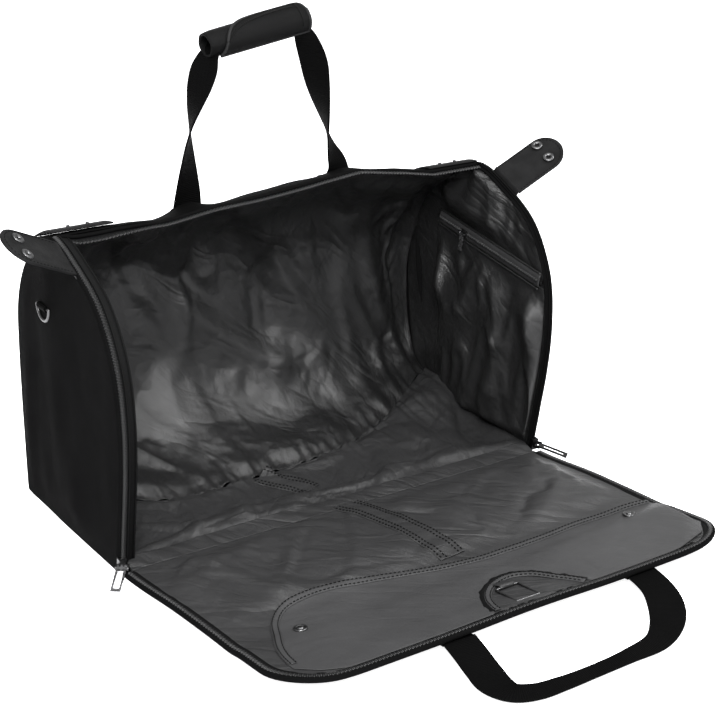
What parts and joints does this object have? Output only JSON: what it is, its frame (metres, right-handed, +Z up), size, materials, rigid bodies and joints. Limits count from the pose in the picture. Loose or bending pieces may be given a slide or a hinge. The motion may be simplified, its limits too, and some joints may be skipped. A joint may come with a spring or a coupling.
{
  "type": "garment bag",
  "caption": "Carry-on duffel garment bag, standing open: domed ends, front flap laid down with slip pocket and hanger ring, two webbing handles, snap tabs and zips.",
  "frame": {"origin": "middle of the base's underside", "axes": "+X along the bag towards the end with the zipped inner pocket, -Y out of the opening, +Z up"},
  "size_m": [0.7158, 0.6985, 0.5402],
  "materials": {
    "shell_nylon": "matte woven nylon",
    "lining_satin": "soft satin",
    "webbing": "ribbed webbing",
    "zip_tape": "herringbone tape",
    "zip_coil": "satin",
    "leather": "fine grain",
    "gunmetal": "satin",
    "silver_metal": "polished",
    "stiffener": "matte"
  },
  "bodies": {
    "bag_body": {"base_panel": "shell_nylon", "base_board": "stiffener", "floor_lining": "lining_satin", "floor_stitched_band": "lining_satin", "back_panel": "shell_nylon", "back_lining": "lining_satin", "top_zip_tape": "zip_tape", "top_zip_coil": "zip_coil", "top_strip": "webbing", "left_end_panel": "shell_nylon", "right_end_panel": "shell_nylon", "left_end_lining": "lining_satin", "right_end_lining": "lining_satin", "side_zip_tapes": "zip_tape", "side_zip_coils": "zip_coil", "stud_patches": "leather", "patch_studs": "gunmetal", "back_handle_anchors": "webbing", "tab_roots": "leather", "ring_loops": "leather", "end_pocket_panel": "lining_satin", "end_pocket_tape": "zip_tape", "end_pocket_coil": "zip_coil", "end_pocket_stops": "gunmetal"},
    "front_flap": {"flap_panel": "shell_nylon", "flap_stiffener": "stiffener", "flap_lining": "lining_satin", "flap_side_coils": "zip_coil", "flap_side_tapes": "zip_tape", "flap_stitched_band": "lining_satin", "flap_pocket_hem": "lining_satin"},
    "flap_end": {"flap_end_panel": "shell_nylon", "flap_end_stiffener": "stiffener", "flap_end_lining": "lining_satin", "flap_end_tape": "zip_tape", "flap_end_coil": "zip_coil", "flap_pocket_panel": "lining_satin", "pocket_snaps": "gunmetal", "hanger_ring_tab": "lining_satin", "front_handle_anchors": "webbing"},
    "hanger_ring": {"hanger_ring": "gunmetal"},
    "front_handle": {"front_handle_webbing": "webbing"},
    "back_handle": {"back_handle_webbing": "webbing", "grip_pad": "shell_nylon"},
    "grip_flap": {"grip_flap": "shell_nylon"},
    "left_tab": {"left_snap_tab": "leather", "left_tab_sockets": "gunmetal"},
    "right_tab": {"right_snap_tab": "leather", "right_tab_sockets": "gunmetal"},
    "left_ring": {"left_strap_ring": "gunmetal"},
    "right_ring": {"right_strap_ring": "gunmetal"},
    "left_slider": {"left_zip_slider": "gunmetal"},
    "left_pull": {"left_zip_pull": "silver_metal"},
    "right_slider": {"right_zip_slider": "gunmetal"},
    "right_pull": {"right_zip_pull": "silver_metal"},
    "pocket_slider": {"end_pocket_slider": "gunmetal"},
    "pocket_pull": {"end_pocket_pull": "silver_metal"}
  },
  "joints": [
    {"name": "flap_hinge", "type": "hinge", "parent": "bag_body", "child": "front_flap", "pos_m": [0, -0.124, 0.0062], "axis": [-1, 0, 0], "range_deg": [0, 82]},
    {"name": "flap_fold", "type": "hinge", "parent": "front_flap", "child": "flap_end", "pos_m": [0, -0.32, 0.0062], "axis": [-1, 0, 0], "range_deg": [0, 32]},
    {"name": "front_handle_swing", "type": "hinge", "parent": "flap_end", "child": "front_handle", "pos_m": [0, -0.4485, 0.0115], "axis": [-1, 0, 0], "range_deg": [0, 110]},
    {"name": "hanger_ring_swing", "type": "hinge", "parent": "flap_end", "child": "hanger_ring", "pos_m": [0.022, -0.38945, 0.01511], "axis": [-1, 0, 0], "range_deg": [0, 150]},
    {"name": "back_handle_swing", "type": "hinge", "parent": "bag_body", "child": "back_handle", "pos_m": [0, 0.042, 0.33], "axis": [1, 0, 0], "range_deg": [-85, 48]},
    {"name": "grip_flap_peel", "type": "hinge", "parent": "back_handle", "child": "grip_flap", "pos_m": [-0.0765, 0.04864, 0.51706], "axis": [-0.9883, 0, -0.1526], "range_deg": [0, 95]},
    {"name": "left_tab_fold", "type": "hinge", "parent": "bag_body", "child": "left_tab", "pos_m": [-0.2835, -0.04979, 0.32428], "axis": [0, 0.8959, 0.4443], "range_deg": [-108, 145]},
    {"name": "right_tab_fold", "type": "hinge", "parent": "bag_body", "child": "right_tab", "pos_m": [0.2835, -0.03875, 0.32953], "axis": [0, -0.9128, -0.4085], "range_deg": [-103, 150]},
    {"name": "left_ring_swing", "type": "hinge", "parent": "bag_body", "child": "left_ring", "pos_m": [-0.2846, 0.019, 0.254], "axis": [0, 1, 0], "range_deg": [0, 140]},
    {"name": "right_ring_swing", "type": "hinge", "parent": "bag_body", "child": "right_ring", "pos_m": [0.2846, 0.019, 0.254], "axis": [0, -1, 0], "range_deg": [0, 140]},
    {"name": "left_slider_travel", "type": "slide", "parent": "bag_body", "child": "left_slider", "axis": [0, -0.1808, 0.9835], "range_m": [0, 0.07]},
    {"name": "left_pull_swing", "type": "hinge", "parent": "left_slider", "child": "left_pull", "pos_m": [-0.28199, -0.1321, 0.01077], "axis": [-0.788, 0.6157, 0], "range_deg": [0, 90]},
    {"name": "right_slider_travel", "type": "slide", "parent": "bag_body", "child": "right_slider", "axis": [0, -0.1808, 0.9835], "range_m": [0, 0.07]},
    {"name": "right_pull_swing", "type": "hinge", "parent": "right_slider", "child": "right_pull", "pos_m": [0.28199, -0.1321, 0.01077], "axis": [-0.788, -0.6157, 0], "range_deg": [0, 90]},
    {"name": "pocket_slider_travel", "type": "slide", "parent": "bag_body", "child": "pocket_slider", "axis": [0, -0.986, -0.1669], "range_m": [-0.045, 0.135]},
    {"name": "pocket_pull_swing", "type": "hinge", "parent": "pocket_slider", "child": "pocket_pull", "pos_m": [0.2662, 0.01374, 0.24516], "axis": [0, 0.986, 0.1669], "range_deg": [0, 150]}
  ],
  "couplings": [
    {"joint": "flap_fold", "follows": "flap_hinge", "ratio": 0.39}
  ]
}
